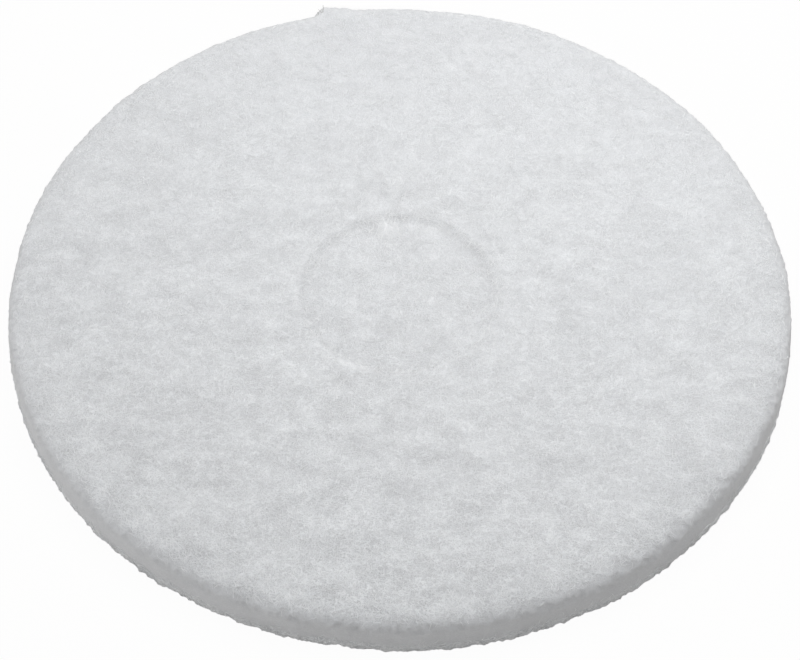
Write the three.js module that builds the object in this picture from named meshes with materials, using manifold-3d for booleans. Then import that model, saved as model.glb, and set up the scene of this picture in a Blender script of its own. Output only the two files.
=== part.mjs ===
// Floor polishing pad for a rotary floor machine: one disc cut from a thick white non-woven polyester web.
// The web stands on the XY plane with its axis on Z. A second, smaller die has cut a ring through the middle,
// apart from a few nicks, so the centre disc stays in the pad until someone pushes it out.
import * as THREE from "three";
import { mergeVertices } from "three/addons/utils/BufferGeometryUtils.js";
import Module from "manifold-3d";

// Driving dimensions, in millimetres
const padDiameter = 330; // a 13 inch pad, measured at its foot
const padThickness = 19; // uncompressed web
const footRounding = 1.5; // the lower edge, where the die left the web
const wallLean = 0.4; // the springy web is cut this much smaller in radius under the upper edge
const shoulderReach = 7.5; // how far in from the wall the rounded upper edge begins
const shoulderDrop = 6; // how far down the wall it ends
const centreDiscDiameter = 82; // the disc that is pushed out, to the middle of the cut
const cutWidth = 0.8; // the gap that the ring die leaves
const lipReach = 3; // the web is pressed down this far to each side of the cut
const lipDrop = 1; // how far the pressed lip goes down at the cut
const centreDiscSink = 0.6; // the centre disc stays a little lower than the face around it
const nickCount = 3; // places where the ring die has no edge, so the web is left whole
const nickWidth = 9; // along the ring
const firstNickAngle = THREE.MathUtils.degToRad(102); // from +X, counter-clockwise seen from above
const cutOverrun = 5; // how far the shape that cuts the ring stands past both faces

// How finely the round shapes are divided
const turnSteps = 120;
const shoulderSteps = 6;
const footSteps = 2;
const stepAngle = (2 * Math.PI) / turnSteps;
const weldDistance = 1e-4; // points closer than this are one point

const padRadius = padDiameter / 2;
const cutRadius = centreDiscDiameter / 2;

// An elliptical arc of the section, from one angle to another, as points of radius and height.
function sectionArc(centreRadius, centreHeight, reach, rise, startAngle, endAngle, steps) {
  const arc = new THREE.EllipseCurve(centreRadius, centreHeight, reach, rise, startAngle, endAngle, false);
  return arc.getPoints(steps);
}

// Half of the pad's section, from the axis under the pad, out and up the wall, and back over the top.
function padSection() {
  const shoulderRadius = padRadius - wallLean;
  const discHeight = padThickness - centreDiscSink;
  const foot = sectionArc(
    padRadius - footRounding, footRounding, footRounding, footRounding, -Math.PI / 2, 0, footSteps,
  );
  const shoulder = sectionArc(
    shoulderRadius - shoulderReach, padThickness - shoulderDrop, shoulderReach, shoulderDrop,
    0, Math.PI / 2, shoulderSteps,
  );
  return [
    new THREE.Vector2(0, 0),
    ...foot,
    ...shoulder,
    new THREE.Vector2(cutRadius + cutWidth / 2 + lipReach, padThickness),
    new THREE.Vector2(cutRadius + cutWidth / 2, padThickness - lipDrop),
    new THREE.Vector2(cutRadius - cutWidth / 2, discHeight - lipDrop),
    new THREE.Vector2(cutRadius - cutWidth / 2 - lipReach, discHeight),
    new THREE.Vector2(0, discHeight),
  ];
}

// One stretch of the ring cut, from nick to nick, standing past both faces of the pad.
function cutStretch(nickIndex) {
  const nickAngle = firstNickAngle + (nickIndex * 2 * Math.PI) / nickCount;
  const halfNick = nickWidth / 2 / cutRadius;
  const start = nickAngle + halfNick;
  const end = nickAngle + (2 * Math.PI) / nickCount - halfNick;
  const outline = new THREE.Shape();
  outline.absarc(0, 0, cutRadius + cutWidth / 2, start, end, false);
  outline.absarc(0, 0, cutRadius - cutWidth / 2, end, start, true);
  const stretch = new THREE.ExtrudeGeometry(outline, {
    depth: padThickness + 2 * cutOverrun,
    bevelEnabled: false,
    curveSegments: Math.ceil((end - start) / stepAngle),
  });
  return stretch.translate(0, 0, -cutOverrun);
}

const wasm = await Module();
wasm.setup();

// A closed three.js geometry as a solid that can be cut.
function solidFrom(geometry) {
  const bare = geometry.clone();
  bare.deleteAttribute("normal");
  bare.deleteAttribute("uv");
  const merged = mergeVertices(bare, weldDistance);
  return new wasm.Manifold(
    new wasm.Mesh({
      numProp: 3,
      vertProperties: new Float32Array(merged.attributes.position.array),
      triVerts: new Uint32Array(merged.index.array),
    }),
  );
}

// A cut solid as a three.js geometry again.
function geometryFrom(solid) {
  const mesh = solid.getMesh();
  const geometry = new THREE.BufferGeometry();
  geometry.setAttribute("position", new THREE.BufferAttribute(mesh.vertProperties, 3));
  geometry.setIndex(new THREE.BufferAttribute(mesh.triVerts, 1));
  geometry.computeVertexNormals();
  return geometry;
}

// The disc is turned about Y by three.js, so it is stood on Z before the ring is cut.
function padGeometry() {
  const disc = new THREE.LatheGeometry(padSection(), turnSteps).rotateX(Math.PI / 2);
  let pad = solidFrom(disc);
  for (let nick = 0; nick < nickCount; nick += 1) {
    pad = pad.subtract(solidFrom(cutStretch(nick)));
  }
  return geometryFrom(pad);
}

const whiteWeb = new THREE.MeshStandardMaterial({
  name: "white_nonwoven_polyester",
  color: 0xdfe1e3,
  roughness: 0.95,
  metalness: 0,
});

const pad = new THREE.Mesh(padGeometry(), whiteWeb);
pad.name = "polishing_pad";

const model = new THREE.Group();
model.add(pad);

export default model;
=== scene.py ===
import math
import random

import bmesh
import bpy
from mathutils import Matrix, Vector, noise
from mathutils.bvhtree import BVHTree


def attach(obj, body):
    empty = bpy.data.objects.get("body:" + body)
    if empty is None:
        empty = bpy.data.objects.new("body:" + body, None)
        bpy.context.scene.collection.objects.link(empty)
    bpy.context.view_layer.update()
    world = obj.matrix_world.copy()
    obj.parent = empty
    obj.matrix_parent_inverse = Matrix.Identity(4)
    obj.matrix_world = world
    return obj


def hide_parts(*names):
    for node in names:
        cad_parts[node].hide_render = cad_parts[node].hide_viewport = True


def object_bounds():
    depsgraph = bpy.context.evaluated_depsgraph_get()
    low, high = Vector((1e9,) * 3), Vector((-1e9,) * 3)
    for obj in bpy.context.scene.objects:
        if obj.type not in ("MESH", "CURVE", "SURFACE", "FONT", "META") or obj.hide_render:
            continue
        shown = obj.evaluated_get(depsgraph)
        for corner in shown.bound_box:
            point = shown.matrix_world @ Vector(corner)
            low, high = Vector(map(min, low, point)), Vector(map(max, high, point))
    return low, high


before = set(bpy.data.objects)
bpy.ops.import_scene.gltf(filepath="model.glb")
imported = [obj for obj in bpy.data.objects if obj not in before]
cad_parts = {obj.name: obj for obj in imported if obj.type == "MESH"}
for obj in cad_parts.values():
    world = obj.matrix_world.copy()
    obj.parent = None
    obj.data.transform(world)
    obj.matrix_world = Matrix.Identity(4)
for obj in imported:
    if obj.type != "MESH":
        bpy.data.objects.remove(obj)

# The web disc
# The real pad is one disc, die-cut from a thick web of crimped white polyester fibres that resin bonds where they
# cross. The web is springy, so the die leaves a soft upper edge, a wall that leans in and a frayed foot. A smaller
# die has cut a ring through the middle apart from three nicks, and has pressed the web down beside the cut.
mm = 0.001
cad_low, cad_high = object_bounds()
pad_radius = (cad_high.x - cad_low.x) / 2
pad_thickness = cad_high.z - cad_low.z

foot_rounding = 1.5 * mm
wall_lean = 0.4 * mm
shoulder_reach = 7.5 * mm
shoulder_drop = 6 * mm
cut_radius = 41 * mm
cut_gap = 0.05 * mm  # the springy web has closed the gap that the die left
skin_depth = 3 * mm  # this deep under the upper face, matted fibres still cover the cut
nick_angles = [math.radians(angle) for angle in (102, 222, 342)]
nick_width = 9 * mm

# The skin starts as a coarse cage, which two rounds of subdivision make sixteen times finer.
rim_steps = 144
top_spacing = 6.4 * mm
lip_spacing = 2.8 * mm
under_spacing = 19 * mm
wall_spacing = 5 * mm
rim_cuts = 2  # the rim is divided this many times more along its length, for its raggedness
zone_radii = [122 * mm, 50 * mm, 24 * mm]  # inside each of these the cage has half as many steps
middle_radius = 8 * mm  # the last loop, which one face closes
close_by = 0.02 * mm


def arc(centre, reach, rise, start_turn, end_turn, count):
    """Points of a section on a stretch of an ellipse, from one share of a whole turn to another."""
    angles = [2 * math.pi * (start_turn + (end_turn - start_turn) * i / count) for i in range(count + 1)]
    return [(centre[0] + reach * math.cos(a), centre[1] + rise * math.sin(a)) for a in angles]


def straight(start, end, spacing):
    """Points of a section on a straight stretch, from one (radius, height) to another."""
    start, end = Vector(start), Vector(end)
    count = max(1, round((end - start).length / spacing))
    return [tuple(start.lerp(end, i / count)) for i in range(count + 1)]


def spin_section(web, line, closed):
    """Spins a section of the web all the way round the pad's axis."""
    points = [Vector((radius, 0, height)) for radius, height in line]
    points = [point for i, point in enumerate(points) if i == 0 or (point - points[i - 1]).length > close_by]
    if closed:
        points.pop()
    verts = [web.verts.new(point) for point in points]
    pairs = list(zip(verts, verts[1:])) + [(verts[-1], verts[0])] * closed
    edges = [web.edges.new(pair) for pair in pairs]
    bmesh.ops.spin(
        web, geom=verts + edges, cent=(0, 0, 0), axis=(0, 0, 1), dvec=(0, 0, 0),
        angle=2 * math.pi, steps=rim_steps, use_merge=True, use_normal_flip=False, use_duplicate=False,
    )


def plan_radius(point):
    return math.hypot(point[0], point[1])


def plan_angle(point):
    return math.atan2(point[1], point[0])


def turn_between(angle, other):
    """How far two plan angles lie apart."""
    return abs((angle - other + math.pi) % (2 * math.pi) - math.pi)


def step_of(point):
    """The number of the spin's step that a point of the cage lies on."""
    return round(plan_angle(point) / (2 * math.pi) * rim_steps) % rim_steps


shoulder_centre = (pad_radius - wall_lean - shoulder_reach, pad_thickness - shoulder_drop)
foot_centre = (pad_radius - foot_rounding, foot_rounding)
shoulder = arc(shoulder_centre, shoulder_reach, shoulder_drop, 0.25, 0, 3)
foot = arc(foot_centre, foot_rounding, foot_rounding, 0, -0.25, 2)
cut_outside, cut_inside = cut_radius + cut_gap / 2, cut_radius - cut_gap / 2
lip_outside, lip_inside = cut_radius + 2 * lip_spacing, cut_radius - 2 * lip_spacing
skin_level = pad_thickness - skin_depth
web = bmesh.new()
spin_section(
    web,
    straight((cut_outside, pad_thickness), (lip_outside, pad_thickness), lip_spacing)
    + straight((lip_outside, pad_thickness), shoulder[0], top_spacing)
    + shoulder
    + straight(shoulder[-1], foot[0], wall_spacing)
    + foot
    + straight(foot[-1], (cut_outside, 0), under_spacing)
    + straight((cut_outside, 0), (cut_outside, skin_level), under_spacing)
    + [(cut_outside, pad_thickness)],
    closed=True,
)
spin_section(
    web,
    straight((middle_radius, pad_thickness), (lip_inside, pad_thickness), top_spacing)
    + straight((lip_inside, pad_thickness), (cut_inside, pad_thickness), lip_spacing)
    + straight((cut_inside, skin_level), (cut_inside, 0), under_spacing)
    + straight((cut_inside, 0), (middle_radius, 0), under_spacing),
    closed=False,
)
for halving, zone_radius in enumerate(zone_radii):
    spare = []
    for edge in web.edges:
        steps = {step_of(vert.co) for vert in edge.verts}
        inside = all(plan_radius(vert.co) < zone_radius for vert in edge.verts)
        if inside and len(steps) == 1 and steps.pop() // 2 ** halving % 2:
            spare.append(edge)
    bmesh.ops.dissolve_edges(web, edges=spare, use_verts=True)
bmesh.ops.holes_fill(web, edges=[edge for edge in web.edges if edge.is_boundary], sides=0)


def in_cut(element):
    return all(abs(plan_radius(vert.co) - cut_radius) < cut_gap for vert in element.verts)


def lowest(element):
    return min(vert.co.z for vert in element.verts)


def in_order(mesh):
    """The same mesh listed by place. Some operators list it another way in each run, which would shift the fibres."""
    verts = sorted(mesh.verts, key=lambda vert: vert.co[:])
    number = {vert: i for i, vert in enumerate(verts)}
    loops = []
    for face in mesh.faces:
        loop = [number[vert] for vert in face.verts]
        first = loop.index(min(loop))
        loops.append(loop[first:] + loop[:first])
    listed = bmesh.new()
    places = [listed.verts.new(vert.co) for vert in verts]
    for loop in sorted(loops):
        listed.faces.new([places[i] for i in loop]).smooth = True
    mesh.free()
    return listed


# The skin goes on over the cut.
covered = [face for face in web.faces if in_cut(face) and lowest(face) > skin_level - close_by]
bmesh.ops.delete(web, geom=covered, context="FACES")
lips = [edge for edge in web.edges if edge.is_boundary and lowest(edge) > pad_thickness - close_by]
bmesh.ops.bridge_loops(web, edges=lips)
# Each nick joins the centre disc to the pad round it, through the whole thickness.
half_nick = nick_width / 2 / cut_radius
joined = []
for face in web.faces:
    angle = plan_angle(face.calc_center_median())
    near_nick = min(turn_between(angle, nick) for nick in nick_angles) < half_nick
    if near_nick and in_cut(face) and lowest(face) < skin_level - close_by:
        joined.append(face)
bmesh.ops.delete(web, geom=joined, context="FACES")
bmesh.ops.bridge_loops(web, edges=[edge for edge in web.edges if edge.is_boundary])
bmesh.ops.recalc_face_normals(web, faces=web.faces)
web = in_order(web)

# The edges of the cut stay sharp on the underside.
crease = web.edges.layers.float.new("crease_edge")
for edge in web.edges:
    if in_cut(edge) and all(vert.co.z < close_by for vert in edge.verts):
        edge[crease] = 1


def mesh_object(name, mesh):
    made = bpy.data.objects.new(name, mesh)
    bpy.context.scene.collection.objects.link(made)
    return made


def finished(piece):
    """Applies a piece's modifiers, and gives its final mesh."""
    bpy.context.view_layer.update()
    mesh = bpy.data.meshes.new_from_object(piece.evaluated_get(bpy.context.evaluated_depsgraph_get()))
    piece.modifiers.clear()
    piece.data = mesh
    return mesh


web_mesh = bpy.data.meshes.new("pad_web")
web.to_mesh(web_mesh)
web.free()
pad_web = mesh_object("pad_web", web_mesh)
finer = pad_web.modifiers.new("finer", "SUBSURF")
finer.levels = finer.render_levels = 2
web_mesh = finished(pad_web)

web = bmesh.new()
web.from_mesh(web_mesh)
round_edges = []
for edge in web.edges:
    a, b = (vert.co for vert in edge.verts)
    length = turn_between(plan_angle(a), plan_angle(b)) * pad_radius
    if plan_radius(a) > shoulder_centre[0] - mm and abs(a.z - b.z) < close_by and length > mm:
        round_edges.append(edge)
bmesh.ops.subdivide_edges(web, edges=round_edges, cuts=rim_cuts, use_grid_fill=True)
web = in_order(web)
web.to_mesh(web_mesh)
web.free()


def ease(share):
    """From 0 to 1, level at both ends."""
    share = min(1, max(0, share))
    return share * share * (3 - 2 * share)


disc_sink = 0.8 * mm
slope_half = 2.4 * mm  # the step down to the centre disc is this wide to each side of its middle
slope_lean = 1.5 * mm  # the die leaned a little, so the step lies farther out on one side
slope_heading = math.radians(230)
crease_depth = 0.12 * mm
lip_reach = 5 * mm  # on the underside
tongue_length = 11 * mm  # a nick keeps the edge of the centre disc up, this far inwards
nick_full = 0.3 * nick_width  # up to here from its middle a nick holds the web up wholly
nick_fade = 0.45 * nick_width  # and over this length it lets go
# At the first nick the web is pulled up into a low, dense tuft, with a dent to the right of it.
tuft_place = (-5.8 * mm, 33.5 * mm)
tuft_size = 6.5 * mm
tuft_rise = 0.4 * mm
dent_place = (-0.9 * mm, 38.2 * mm)
dent_size = 2.4 * mm
dent_depth = 0.2 * mm
edge_slope = 0.9 * mm  # the upper face falls a little towards the rim
edge_slope_reach = 22 * mm
# The web's unevenness: the size of its patches, how much it rises or falls, and how far it is drawn out along X,
# the way the web was laid.
clouds = [(24 * mm, 0.18 * mm, 1.5), (10 * mm, 0.14 * mm, 1.7), (4.5 * mm, 0.12 * mm, 1.6)]
under_rise = 0.3 * mm  # the underside's plain level over the floor
under_least = 0.1 * mm
under_lip = 0.5 * mm
# Where the clouds of each face lie in the noise, and how far apart the layers are there
top_seed = 3.7
under_seed = 41.3
seed_step = 5


def clouded(x, y, layers, seed):
    """How far the web's unevenness lifts a place of a face."""
    rises = []
    for i, (size, rise, drawn) in enumerate(layers):
        rises.append(rise * noise.noise(Vector((x / size / drawn, y / size, seed + seed_step * i))))
    return sum(rises)


def nick_share(angle):
    """1 in the middle of a nick and 0 away from it."""
    away = min(turn_between(angle, nick) for nick in nick_angles) * cut_radius
    return 1 - ease((away - nick_full) / nick_fade)


def top_relief(x, y):
    """How far the upper face lies above its plain level."""
    radius, angle = math.hypot(x, y), math.atan2(y, x)
    rise = clouded(x, y, clouds, top_seed)
    rise -= edge_slope * ease((radius - pad_radius + edge_slope_reach) / edge_slope_reach)
    if radius > 2 * cut_radius:
        return rise
    rise += tuft_rise * ease(1 - math.dist((x, y), tuft_place) / tuft_size)
    rise -= dent_depth * ease(1 - math.dist((x, y), dent_place) / dent_size)
    held = nick_share(angle) * ease(1 - (cut_radius - radius) / tongue_length)
    step_radius = cut_radius + slope_lean * math.cos(angle - slope_heading)
    sunk = 1 - ease((radius - step_radius + slope_half) / (2 * slope_half))
    if abs(radius - cut_radius) < cut_gap:
        rise -= crease_depth * (1 - held)
    return rise - disc_sink * sunk * (1 - held)


def under_relief(x, y):
    """How far the underside lies above the floor: the web bears on it in patches."""
    rise = under_rise + clouded(x, y, clouds[1:], under_seed)
    lip = ease(1 - abs(math.hypot(x, y) - cut_radius) / lip_reach)
    return max(under_least, rise + under_lip * lip * (1 - nick_share(math.atan2(y, x))))


fray_height = 3.2 * mm  # the frayed part of the wall, up from the floor
burr_angle = math.radians(104.4)
# Where the die's edge begins and ends, the rim is out of line, and more so in a small lump beside the burr: how far,
# and over which length the rim comes back into line.
burr_forms = [(1.2 * mm, 32 * mm), (4.2 * mm, 24 * mm)]
burr_start = 6 * mm  # the length over which the rim leaves its line
# The die bends a little in the web, so the rim isn't quite a circle: the size of its waves, and how far they go.
rim_waves = [(36 * mm, 0.7 * mm), (16 * mm, 0.25 * mm), (6 * mm, 0.2 * mm)]
# The torn skin of the shoulder and, rougher, that of the foot.
ragged_waves = [(3.4 * mm, 0.4 * mm), (1.7 * mm, 0.3 * mm)]
foot_share = 2.4
foot_fade = 1.3  # fray heights above the floor where the foot's raggedness ends
shoulder_share = 1.4
shoulder_below = 1.5 * shoulder_drop  # this far under the upper face the shoulder's raggedness begins
shoulder_fade = 0.8 * shoulder_drop
wave_squash = 2.5  # the waves are this much shorter up the wall than along it
ragged_squash = 1.3


def waved(place, waves):
    """The sum of a few noises, each given by its size and how far it goes."""
    return sum(rise * noise.noise(place / size) for size, rise in waves)


def wall_relief(angle, height):
    """How far the wall stands out from its plain section."""
    x, y = pad_radius * math.cos(angle), pad_radius * math.sin(angle)
    past_burr = (burr_angle - angle) % (2 * math.pi) * pad_radius
    burr = sum(rise * (1 - ease(past_burr / length)) for rise, length in burr_forms) * ease(past_burr / burr_start)
    torn = foot_share * ease(foot_fade - height / fray_height)
    torn += shoulder_share * ease((height - pad_thickness + shoulder_below) / shoulder_fade)
    ragged = torn * waved(Vector((x, y, height * ragged_squash)), ragged_waves)
    return waved(Vector((x, y, height * wave_squash)), rim_waves) + burr + ragged


# How strongly the tone varies, and how much lighter or darker it is painted than elsewhere, which the material reads.
# The web is more mottled towards -Y. The ring has painted shade in its crease and on the side of its step turned from
# the key lamp, and painted light on the side turned to it.
contrast, painted_light_and_shade = [], []
plain_contrast, least_contrast = 1.1, 0.4
contrast_along_x, contrast_along_y = 0.8, 4  # less for each metre
wall_contrast = 0.75  # the wall's tone varies this much less
foot_contrast = 1.5
# Painted light on the tuft, painted shade on the wall, and painted light at the foot, where the floor lights it
tuft_painted_light, wall_painted_shade, foot_painted_light = 0.28, -0.08, 0.3
tuft_spread = 1.2
# Stretches of the ring, painted shade or painted light: how much lighter, the radius of their middle, their width,
# heading and spread in degrees
ring_painted_shade_and_light = [
    (-0.13, 40.4 * mm, 1.8 * mm, 90, 14),
    (-0.08, 38.5 * mm, 5 * mm, 35, 65),
    (0.05, 45 * mm, 7 * mm, 232, 50),
]
# Where the relief and the tone of the wall and of the foot begin, inwards of the rim, and how soon they are full
relief_inner = shoulder_centre[0] - 8 * mm
relief_outer = pad_radius - wall_lean - 2 * mm
wall_inset, wall_blend, wall_climb = 6 * mm, 5 * mm, 3 * mm
foot_inset, foot_blend, foot_top = 4 * mm, 2 * mm, 1.6
upper_from = 0.6  # of the thickness: only what lies higher moves with the upper face


def arc_share(x, y, radius, width, heading, spread):
    """1 in the middle of a stretch of a ring and 0 away from it."""
    across = 1 - abs(math.hypot(x, y) - radius) / width
    return ease(across) * ease(1 - turn_between(math.atan2(y, x), math.radians(heading)) / math.radians(spread))


for vert in web_mesh.vertices:
    x, y, z = vert.co
    radius, angle = math.hypot(x, y), math.atan2(y, x)
    upper = max(0, (z / pad_thickness - upper_from) / (1 - upper_from))
    if upper > 0:
        vert.co.z += top_relief(x, y) * upper
    if z < foot_rounding:
        vert.co.z += under_relief(x, y) * (1 - z / foot_rounding)
    if radius > relief_inner:
        out = wall_relief(angle, z) * ease((radius - relief_inner) / (relief_outer - relief_inner))
        vert.co.x += out * math.cos(angle)
        vert.co.y += out * math.sin(angle)
    on_wall = ease((radius - pad_radius + wall_inset) / wall_blend) * ease((z - fray_height) / wall_climb)
    at_foot = ease((radius - pad_radius + foot_inset) / foot_blend) * ease(foot_top - z / fray_height)
    mottled = max(least_contrast, plain_contrast - contrast_along_y * y - contrast_along_x * x)
    contrast.append(mottled * (1 - wall_contrast * on_wall) + foot_contrast * at_foot)
    # The painted light and shade of each point: the tuft, the ring's stretches, the wall and the foot
    light = tuft_painted_light * ease(tuft_spread - math.dist((x, y), tuft_place) / tuft_size)
    for change, *stretch in ring_painted_shade_and_light:
        light += change * arc_share(x, y, *stretch)
    light *= z > pad_thickness / 2
    light += wall_painted_shade * on_wall
    light += foot_painted_light * at_foot
    painted_light_and_shade.append(light)
for name, values in (("contrast", contrast), ("painted_light_and_shade", painted_light_and_shade)):
    web_mesh.attributes.new(name, "FLOAT", "POINT").data.foreach_set("value", values)


def linear(hex_colour):
    """An sRGB colour such as #a0b0c0 as the linear one that the shader takes."""
    parts = [int(hex_colour[i:i + 2], 16) / 255 for i in (1, 3, 5)]
    return tuple(p / 12.92 if p <= 0.04045 else ((p + 0.055) / 1.055) ** 2.4 for p in parts) + (1,)


def add(tree, kind, links=(), values=(), **settings):
    """Adds a node, sets its attributes and sockets, and links its inputs. A name with a capital is a socket."""
    node = tree.nodes.new(kind)
    for socket, value in dict(values).items():
        node.inputs[socket].default_value = value
    for name, value in settings.items():
        if name[0].isupper():
            node.inputs[name.replace("_", " ")].default_value = value
        else:
            setattr(node, name, value)
    for socket, source in dict(links).items():
        tree.links.new(source, node.inputs[socket])
    return node


# Non-woven polyester, bonded with a clear resin: matt white, with light scattering some way into the open web, a
# slightly cloudy tone where more or less fibre lies, and a grain of fine strands in every direction.
polyester_web = bpy.data.materials.new("white_nonwoven_polyester")
polyester_web.use_nodes = True
tree = polyester_web.node_tree
shader = tree.nodes["Principled BSDF"]
shader.inputs["Roughness"].default_value = 0.9
shader.inputs["Specular IOR Level"].default_value = 0.2
shader.inputs["Subsurface Weight"].default_value = 1
shader.inputs["Subsurface Radius"].default_value = (1, 1, 1)
shader.inputs["Subsurface Scale"].default_value = 2 * mm
place = add(tree, "ShaderNodeTexCoord").outputs["Object"]
curl_rise = 0.3
patch_share = 0.45
tone_ends = (0.27, 0.8)
tone_middle = 0.53
tone_colours = ("#cacbcd", "#f2f4f6")
bump_height = 0.2 * mm
drawn_out = add(tree, "ShaderNodeMapping", {"Vector": place}, vector_type="TEXTURE", Scale=(1.6, 1, 1))
patch_size = 8 * mm
patches = add(
    tree, "ShaderNodeTexNoise", {"Vector": drawn_out.outputs["Vector"]},
    Scale=1 / patch_size, Detail=4, Roughness=0.6,
)
# Crimped fibres: the lines where a smooth noise crosses its middle wind about as the real ones do. A line is drawn
# 0.15 mm wide, three times a real fibre, because a single one is too fine to show.
curl_size = 2.4 * mm
curl_line = 0.035
curl_layers = [(0, 0), (50, 3), (-40, 7)]  # the turn of each layer in degrees, and its place in the noise
off_square = math.radians(20)  # keeps the noise's own grid from showing
curls = None
for curl_turn, shift in curl_layers:
    turned = add(
        tree, "ShaderNodeMapping", {"Vector": place}, vector_type="TEXTURE",
        Location=(0, 0, shift * curl_size), Rotation=(off_square, off_square, math.radians(curl_turn)),
        Scale=(1.8, 1, 1),
    )
    wave = add(
        tree, "ShaderNodeTexNoise", {"Vector": turned.outputs["Vector"]}, Scale=1 / curl_size, Detail=1, Distortion=0.5,
    )
    away = add(tree, "ShaderNodeMath", {0: wave.outputs["Fac"]}, {1: 0.5}, operation="SUBTRACT")
    away = add(tree, "ShaderNodeMath", {0: away.outputs[0]}, operation="ABSOLUTE")
    line = add(tree, "ShaderNodeMapRange", {"Value": away.outputs[0]}, From_Max=curl_line, To_Min=1, To_Max=0)
    line = line.outputs[0]
    if curls is None:
        curls = line
    else:
        curls = add(tree, "ShaderNodeMath", {0: curls, 1: line}, operation="MAXIMUM").outputs[0]
grain_size = 0.55 * mm
skewed = add(tree, "ShaderNodeMapping", {"Vector": place}, vector_type="TEXTURE", Rotation=[off_square] * 3)
grain = add(
    tree, "ShaderNodeTexNoise", {"Vector": skewed.outputs["Vector"]},
    Scale=1 / grain_size, Detail=2, Roughness=0.6, Distortion=0.3,
)
relief = add(tree, "ShaderNodeMath", {0: curls, 2: grain.outputs["Fac"]}, {1: curl_rise}, operation="MULTIPLY_ADD")
shade = add(tree, "ShaderNodeMath", {0: patches.outputs["Fac"]}, {1: patch_share}, operation="MULTIPLY")
shade = add(
    tree, "ShaderNodeMath", {0: relief.outputs[0], 2: shade.outputs[0]}, {1: 1 - patch_share},
    operation="MULTIPLY_ADD",
)
varied = add(tree, "ShaderNodeAttribute", attribute_name="contrast").outputs["Fac"]
# the painted light and shade, from the mesh
lighter = add(tree, "ShaderNodeAttribute", attribute_name="painted_light_and_shade").outputs["Fac"]
shade = add(tree, "ShaderNodeMath", {0: shade.outputs[0]}, {1: tone_middle}, operation="SUBTRACT")
shade = add(tree, "ShaderNodeMath", {0: shade.outputs[0], 1: varied, 2: lighter}, operation="MULTIPLY_ADD")
shade = add(tree, "ShaderNodeMath", {0: shade.outputs[0]}, {1: tone_middle}, operation="ADD")
tone = add(tree, "ShaderNodeValToRGB", {"Fac": shade.outputs[0]})
for element, position, colour in zip(tone.color_ramp.elements, tone_ends, tone_colours):
    element.position = position
    element.color = linear(colour)
tree.links.new(tone.outputs["Color"], shader.inputs["Base Color"])
varied_relief = add(tree, "ShaderNodeMath", {0: relief.outputs[0], 1: varied}, operation="MULTIPLY")
bump = add(tree, "ShaderNodeBump", {"Height": varied_relief.outputs[0]}, Strength=1, Distance=bump_height)
tree.links.new(bump.outputs["Normal"], shader.inputs["Normal"])
pad_web.data.materials.append(polyester_web)

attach(pad_web, "root")
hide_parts("polishing_pad")

# The fibres of the skin
# The web's outermost fibres are crimped polyester staple, 40 to 60 mm long and about 0.05 mm thick. They lie flat in
# every direction, a little more of them along X, dive in and out of the web, and resin holds them where they cross.
# They are drawn as bundles, four times as thick and much shorter, because single fibres are too fine to show.
fibre_step = 1.5 * mm
fibre_section = bpy.data.curves.new("fibre_section", "CURVE")
corners = fibre_section.splines.new("POLY")
corners.points.add(2)
for corner, across, up in zip(corners.points, (-1, 1, 0), (-0.25, -0.25, 0.2)):
    corner.co = (mm * across, mm * up, 0, 1)
corners.use_cyclic_u = True
section_object = mesh_object("fibre_section", fibre_section)

web_tree = BVHTree.FromObject(pad_web, bpy.context.evaluated_depsgraph_get())
rim_line = (
    arc(shoulder_centre, shoulder_reach, shoulder_drop, 0.25, 0, 12)
    + straight(shoulder[-1], foot[0], mm)[1:]
    + arc(foot_centre, foot_rounding, foot_rounding, 0, -0.2, 4)[1:]
)
rim_reach = [0.0]
for a, b in zip(rim_line, rim_line[1:]):
    rim_reach.append(rim_reach[-1] + math.dist(a, b))


def unrolled(x, y):
    """A point of the skin, where the face and the wall are rolled out flat as one larger disc."""
    radius = math.hypot(x, y)
    over = min(radius - shoulder_centre[0], rim_reach[-1] - 0.01 * mm)
    if over <= 0:
        return Vector((x, y, pad_thickness))
    piece = next(i for i, reach in enumerate(rim_reach) if reach > over)
    share = (over - rim_reach[piece - 1]) / (rim_reach[piece] - rim_reach[piece - 1])
    there, height = Vector(rim_line[piece - 1]).lerp(Vector(rim_line[piece]), share)
    return Vector((x / radius * there, y / radius * there, height))


def on_web(point, lift):
    """The nearest place on the web's skin, raised a little along its normal."""
    place, normal, _, _ = web_tree.find_nearest(point)
    return place + normal * lift


def crimped(chance, x, y, heading, length, curl=6 * mm, crimp=0.35):
    """The line that a fibre takes, seen flat."""
    bend = chance.gauss(0, 1) / curl
    line = [(x, y)]
    for _ in range(round(length / fibre_step)):
        heading += bend * fibre_step + chance.gauss(0, crimp)
        x, y = x + fibre_step * math.cos(heading), y + fibre_step * math.sin(heading)
        line.append((x, y))
    return line


def clipped(line, reach):
    """What of a fibre's line lies inside a radius."""
    return [(x, y) for x, y in line if math.hypot(x, y) < reach]


def laid(chance, line, bury, rise, flat=unrolled):
    """Lays a line on the web's skin: both ends are inside the web, and the middle is out of it and sways a little."""
    phase = chance.uniform(0, 2 * math.pi)
    points = []
    for i, place in enumerate(line):
        t = i / (len(line) - 1)
        height = (bury + rise) * math.sin(math.pi * t) * (0.8 + 0.2 * math.sin(phase + 7 * t)) - bury
        points.append(on_web(flat(*place), height))
    return points


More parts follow.
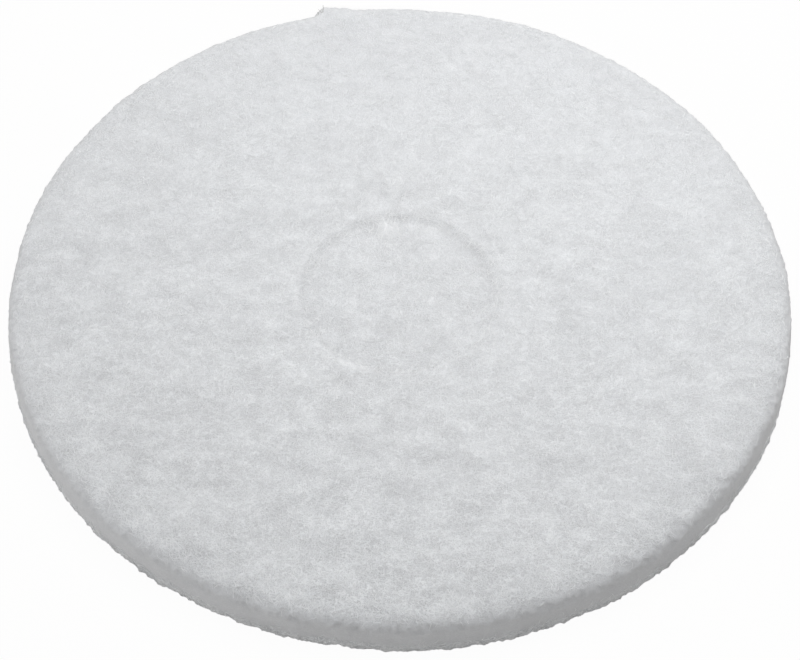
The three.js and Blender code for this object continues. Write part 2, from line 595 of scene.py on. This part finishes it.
def fibre_piece(name, fibres, material):
    """One piece of many closed fibres, each given as its points and its thickness."""
    curve = bpy.data.curves.new(name, "CURVE")
    curve.dimensions = "3D"
    curve.bevel_mode = "OBJECT"
    curve.bevel_object = section_object
    curve.use_fill_caps = True
    curve.twist_mode = "Z_UP"
    for points, thickness in fibres:
        spline = curve.splines.new("POLY")
        spline.points.add(len(points) - 1)
        spline.points.foreach_set("co", [number for point in points for number in (*point, 1)])
        spline.points.foreach_set("radius", [thickness / 2 / mm] * len(points))
    piece = mesh_object(name + "_line", curve)
    bpy.context.view_layer.update()
    mesh = bpy.data.meshes.new_from_object(piece.evaluated_get(bpy.context.evaluated_depsgraph_get()))
    bpy.data.objects.remove(piece)
    tubes = bmesh.new()
    tubes.from_mesh(mesh)
    bmesh.ops.remove_doubles(tubes, verts=tubes.verts, dist=1e-7)  # joins each end's cap to its tube
    tubes.to_mesh(mesh)
    tubes.free()
    mesh.name = name
    mesh.shade_flat()
    mesh.materials.clear()
    mesh.materials.append(material)
    made = mesh_object(name, mesh)
    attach(made, "root")
    return made


def fibre_material(name, darkest, lightest):
    """Polyester staple: a little silky, and no two fibres quite alike in tone."""
    made = bpy.data.materials.new(name)
    made.use_nodes = True
    tree = made.node_tree
    shader = tree.nodes["Principled BSDF"]
    shader.inputs["Roughness"].default_value = 0.5
    shader.inputs["Specular IOR Level"].default_value = 0.3
    each = add(tree, "ShaderNodeNewGeometry").outputs["Random Per Island"]
    tone = add(tree, "ShaderNodeValToRGB", {"Fac": each})
    for element, colour in zip(tone.color_ramp.elements, (darkest, lightest)):
        element.color = linear(colour)
    tree.links.new(tone.outputs["Color"], shader.inputs["Base Color"])
    return made


polyester_fibre = fibre_material("polyester_staple_fibre", "#eceef0", "#fbfcfd")
burr_fibre_painted_shade = fibre_material("polyester_fibre_painted_shade", "#a5a4a1", "#c9c8c6")  # painted shade: the burr's fibres are coloured darker, as if in shade

long_fibre = (6, 14)  # lengths from and to, in mm
thin_fibre, thick_fibre = (0.1, 0.16), (0.14, 0.22)  # thicknesses, in mm
deep, shallow = 0.08 * mm, 0.06 * mm  # how far the ends of a fibre are inside the web
fewest_points = 3
along_y = 0.75  # fewer fibres run along Y than along X
fibre_reach = shoulder_centre[0] + 0.6 * shoulder_reach
face_count = 4400
for layer in range(1, 4):
    chance = random.Random(layer)
    fibres = []
    for _ in range(face_count):
        radius, angle = fibre_reach * math.sqrt(chance.random()), chance.uniform(0, 2 * math.pi)
        heading = chance.uniform(0, 2 * math.pi)
        heading = math.atan2(along_y * math.sin(heading), math.cos(heading))
        x, y = radius * math.cos(angle), radius * math.sin(angle)
        line = crimped(chance, x, y, heading, chance.uniform(*long_fibre) * mm)
        line = clipped(line, fibre_reach)
        if len(line) < fewest_points:
            continue
        points = laid(chance, line, deep, chance.uniform(0.02, 0.08) * mm)
        fibres.append((points, chance.uniform(*thin_fibre) * mm))
    fibre_piece(f"face_fibres_{layer}", fibres, polyester_fibre)

# The tuft at the first nick
# The nick is web that the die never cut. Pushing the disc about has teased its fibres up into a dense tuft, over
# web that is painted lighter, as painted light.
tuft_count = 260
chance = random.Random(11)
fibres = []
for _ in range(tuft_count):
    x, y = (chance.gauss(middle, 0.4 * tuft_size) for middle in tuft_place)
    line = crimped(chance, x, y, chance.uniform(0, 2 * math.pi), chance.uniform(4, 7) * mm)
    points = laid(chance, line, shallow, chance.uniform(0.04, 0.2) * mm)
    fibres.append((points, chance.uniform(*thick_fibre) * mm))
fibre_piece("nick_tuft", fibres, polyester_fibre)

# The fibres over the ring cut
# The die has pushed the skin of the upper face down rather than parted it cleanly. Loose crimped polyester fibres of
# both sides lie across the cut there, in every direction, and hide it.
crossing_count = 600
crossing_length = 4.5 * mm
chance = random.Random(16)
fibres = []
for _ in range(crossing_count):
    angle = chance.uniform(0, 2 * math.pi)
    radius = cut_radius + chance.gauss(0, 0.8 * mm)
    heading = chance.uniform(0, 2 * math.pi)
    x = radius * math.cos(angle) - 2 * mm * math.cos(heading)
    y = radius * math.sin(angle) - 2 * mm * math.sin(heading)
    line = crimped(chance, x, y, heading, crossing_length)
    points = laid(chance, line, shallow, chance.uniform(0.02, 0.12) * mm)
    fibres.append((points, chance.uniform(*thick_fibre) * mm))
fibre_piece("cut_fibres", fibres, polyester_fibre)

# The fuzz of the upper edge
# Where the web bends over the upper edge, short loops of crimped polyester stand off it by up to a third of a
# millimetre. They are laid like the fibres of the face, round the whole edge.
fuzz_count = 2400
fuzz_length = 4 * mm
fuzz_band = 4 * mm  # on the face, inside the rounding
rolled_radius = shoulder_centre[0] + rim_reach[-1]
chance = random.Random(12)
fibres = []
for _ in range(fuzz_count):
    radius = chance.uniform(shoulder_centre[0] - fuzz_band, shoulder_centre[0] + 0.8 * shoulder_reach)
    angle = chance.uniform(0, 2 * math.pi)
    x, y = radius * math.cos(angle), radius * math.sin(angle)
    line = clipped(crimped(chance, x, y, chance.uniform(0, 2 * math.pi), fuzz_length), rolled_radius - mm)
    if len(line) < fewest_points:
        continue
    points = laid(chance, line, 0.1 * mm, chance.uniform(0.05, 0.35) * mm)
    fibres.append((points, chance.uniform(0.12, 0.2) * mm))
fibre_piece("edge_fuzz", fibres, polyester_fibre)

# The fray of the foot
# The die leaves the foot of the wall ragged. Its cut fibre ends and torn loops, again crimped polyester, are matted
# down on it all the way round, most of them along the rim. They are laid on the skin and kept off the floor.
fray_count = 2600
fray_length = 3 * mm
fray_top = 6 * mm  # how far up the wall the highest ones lie
floor_clear = 0.08 * mm
chance = random.Random(13)
fibres = []
for _ in range(fray_count):
    radius = rolled_radius - 0.6 * mm - chance.random() ** 1.5 * fray_top
    angle = chance.uniform(0, 2 * math.pi)
    heading = angle + math.pi / 2 + chance.gauss(0, 0.7)
    line = crimped(chance, radius * math.cos(angle), radius * math.sin(angle), heading, fray_length)
    line = clipped(line, rolled_radius - 0.2 * mm)
    if len(line) < fewest_points:
        continue
    points = laid(chance, line, 0.1 * mm, chance.uniform(0.05, 0.25) * mm)
    for point in points:
        point.z = max(point.z, floor_clear)
    fibres.append((points, chance.uniform(0.2, 0.45) * mm))
fibre_piece("foot_fray", fibres, polyester_fibre)

# The burr on the rim
# Where the die's edge begins and ends, it has left a small wisp of curled polyester fibres on the upper edge. Their
# colour is darker, as painted shade.
# They start in the skin, beside the step in the rim, and wander outwards and up.
burr_count = 9
burr_points = 8
burr_buried = 0.2 * mm


def stray(chance, start, heading, step, count, wander):
    """The points of a free fibre, which sets out in one direction and wanders off it, over the floor."""
    point = Vector(start)
    points = [point]
    for _ in range(count):
        heading = (heading + wander * Vector([chance.gauss(0, 1) for _ in range(3)])).normalized()
        point = point + step * heading
        point.z = max(point.z, floor_clear)
        points.append(point)
    return points


chance = random.Random(14)
fibres = []
for _ in range(burr_count):
    angle = burr_angle - chance.uniform(0.1, 0.7) * burr_start / pad_radius
    radius = shoulder_centre[0] + chance.uniform(4, 7) * mm
    start = on_web(unrolled(radius * math.cos(angle), radius * math.sin(angle)), -burr_buried)
    heading = Vector((math.sin(angle), -math.cos(angle), 0)) + Vector((math.cos(angle), math.sin(angle), 0.5)) * 0.5
    points = stray(chance, start, heading.normalized(), chance.uniform(0.3, 0.5) * mm, burr_points, 0.3)
    fibres.append((points, chance.uniform(0.2, 0.34) * mm))
fibre_piece("rim_burr", fibres, burr_fibre_painted_shade)

# The fibres of the underside
# The same crimped polyester skin as the upper face's, pressed flatter because the pad bears on it. Its fibres are
# laid the same way, only sparser.
under_count = 1700
under_reach = pad_radius - 2 * foot_rounding


def below(x, y):
    """A place well under the pad, whose nearest one on the skin is on the underside."""
    return Vector((x, y, -pad_thickness))


chance = random.Random(15)
fibres = []
for _ in range(under_count):
    radius, angle = under_reach * math.sqrt(chance.random()), chance.uniform(0, 2 * math.pi)
    x, y = radius * math.cos(angle), radius * math.sin(angle)
    line = crimped(chance, x, y, chance.uniform(0, 2 * math.pi), chance.uniform(*long_fibre) * mm)
    line = clipped(line, under_reach)
    if len(line) < fewest_points:
        continue
    points = laid(chance, line, deep, 0.05 * mm, flat=below)
    for point in points:
        point.z = max(point.z, floor_clear / 2)
    fibres.append((points, chance.uniform(*thin_fibre) * mm))
fibre_piece("under_fibres", fibres, polyester_fibre)
bpy.data.objects.remove(section_object)

# The floor
# A plain white sweep of matt paint, which fills the view. The camera sees it nearly as white as paper, and the pad's
# shadow stays on it.
floor_mesh = bpy.data.meshes.new("floor")
plain = bmesh.new()
bmesh.ops.create_grid(plain, x_segments=1, y_segments=1, size=6)
plain.to_mesh(floor_mesh)
plain.free()
floor = mesh_object("floor", floor_mesh)


def seen_directly(tree):
    """1 for what the camera sees itself, in a reflection or through a clear thing, and 0 for light on the object."""
    path = add(tree, "ShaderNodeLightPath").outputs
    seen = add(tree, "ShaderNodeMath", {0: path["Is Camera Ray"], 1: path["Is Glossy Ray"]}, operation="MAXIMUM")
    links = {0: seen.outputs[0], 1: path["Is Transmission Ray"]}
    return add(tree, "ShaderNodeMath", links, operation="MAXIMUM").outputs[0]


white_share = 0.965
floor_paint = bpy.data.materials.new("white_floor_paint")
floor_paint.use_nodes = True
tree = floor_paint.node_tree
paint = tree.nodes["Principled BSDF"]
paint.inputs["Base Color"].default_value = linear("#e8e6e4")
paint.inputs["Roughness"].default_value = 1
paper = add(tree, "ShaderNodeEmission", Color=(1, 1, 1, 1), Strength=1)
share = add(tree, "ShaderNodeMath", {0: seen_directly(tree)}, {1: white_share}, operation="MULTIPLY")
mixed = add(tree, "ShaderNodeMixShader", {0: share.outputs[0], 1: paint.outputs[0], 2: paper.outputs[0]})
tree.links.new(mixed.outputs[0], tree.nodes["Material Output"].inputs["Surface"])
floor.data.materials.append(floor_paint)

# The light and the camera
# An even white surround, a soft lamp high over the pad, behind it to the right, and two weaker ones low on the left,
# farther off. The camera was fitted to the outline of the pad in the photograph.
surround_strength = 0.275
world = bpy.data.worlds.new("studio")
bpy.context.scene.world = world
world.use_nodes = True
tree = world.node_tree
surround = tree.nodes["Background"]
surround.inputs["Color"].default_value = (1, 1, 1, 1)
surround.inputs["Strength"].default_value = surround_strength
backdrop = add(tree, "ShaderNodeBackground", Color=(1, 1, 1, 1), Strength=1)
either = add(tree, "ShaderNodeMixShader", {0: seen_directly(tree), 1: surround.outputs[0], 2: backdrop.outputs[0]})
tree.links.new(either.outputs[0], tree.nodes["World Output"].inputs["Surface"])

# The name, the azimuth and elevation in degrees, the distance and size in metres, and the power in watts
lamps = [
    ("key_lamp", (56.3, 73.3), 0.626, 0.6, 3.4),
    ("left_lamp", (180, 15), 1.6, 0.9, 3.4),
    ("front_lamp", (225, 15), 1.6, 0.9, 2.0),
]
for name, (azimuth, elevation), distance, size, watts in lamps:
    light = bpy.data.lights.new(name, "AREA")
    light.shape = "SQUARE"
    light.size = size
    light.energy = watts
    lamp = bpy.data.objects.new(name, light)
    bpy.context.scene.collection.objects.link(lamp)
    azimuth, elevation = math.radians(azimuth), math.radians(elevation)
    away = Vector((
        math.cos(azimuth) * math.cos(elevation), math.sin(azimuth) * math.cos(elevation), math.sin(elevation),
    ))
    lamp.location = away * distance
    lamp.rotation_euler = away.to_track_quat("Z", "Y").to_euler()

camera_elevation = math.radians(53.04)
camera_distance = 1.4037
camera_roll = math.radians(0.689)
camera_aside = 0.08 * mm
camera_up = -4.78 * mm
camera_data = bpy.data.cameras.new("camera")
camera_data.lens = 148.84
camera_data.sensor_width = 36
camera = bpy.data.objects.new("camera", camera_data)
bpy.context.scene.collection.objects.link(camera)
side_axis = Vector((1, 0, 0))
up_axis = Vector((0, math.sin(camera_elevation), math.cos(camera_elevation)))
back_axis = Vector((0, -math.cos(camera_elevation), math.sin(camera_elevation)))
turn = Matrix((side_axis, up_axis, back_axis)).transposed().to_4x4()
place = back_axis * camera_distance + side_axis * camera_aside + up_axis * camera_up
camera.matrix_world = Matrix.Translation(place) @ turn @ Matrix.Rotation(camera_roll, 4, "Z")
bpy.context.scene.camera = camera

bpy.context.scene.view_settings.view_transform = "Standard"
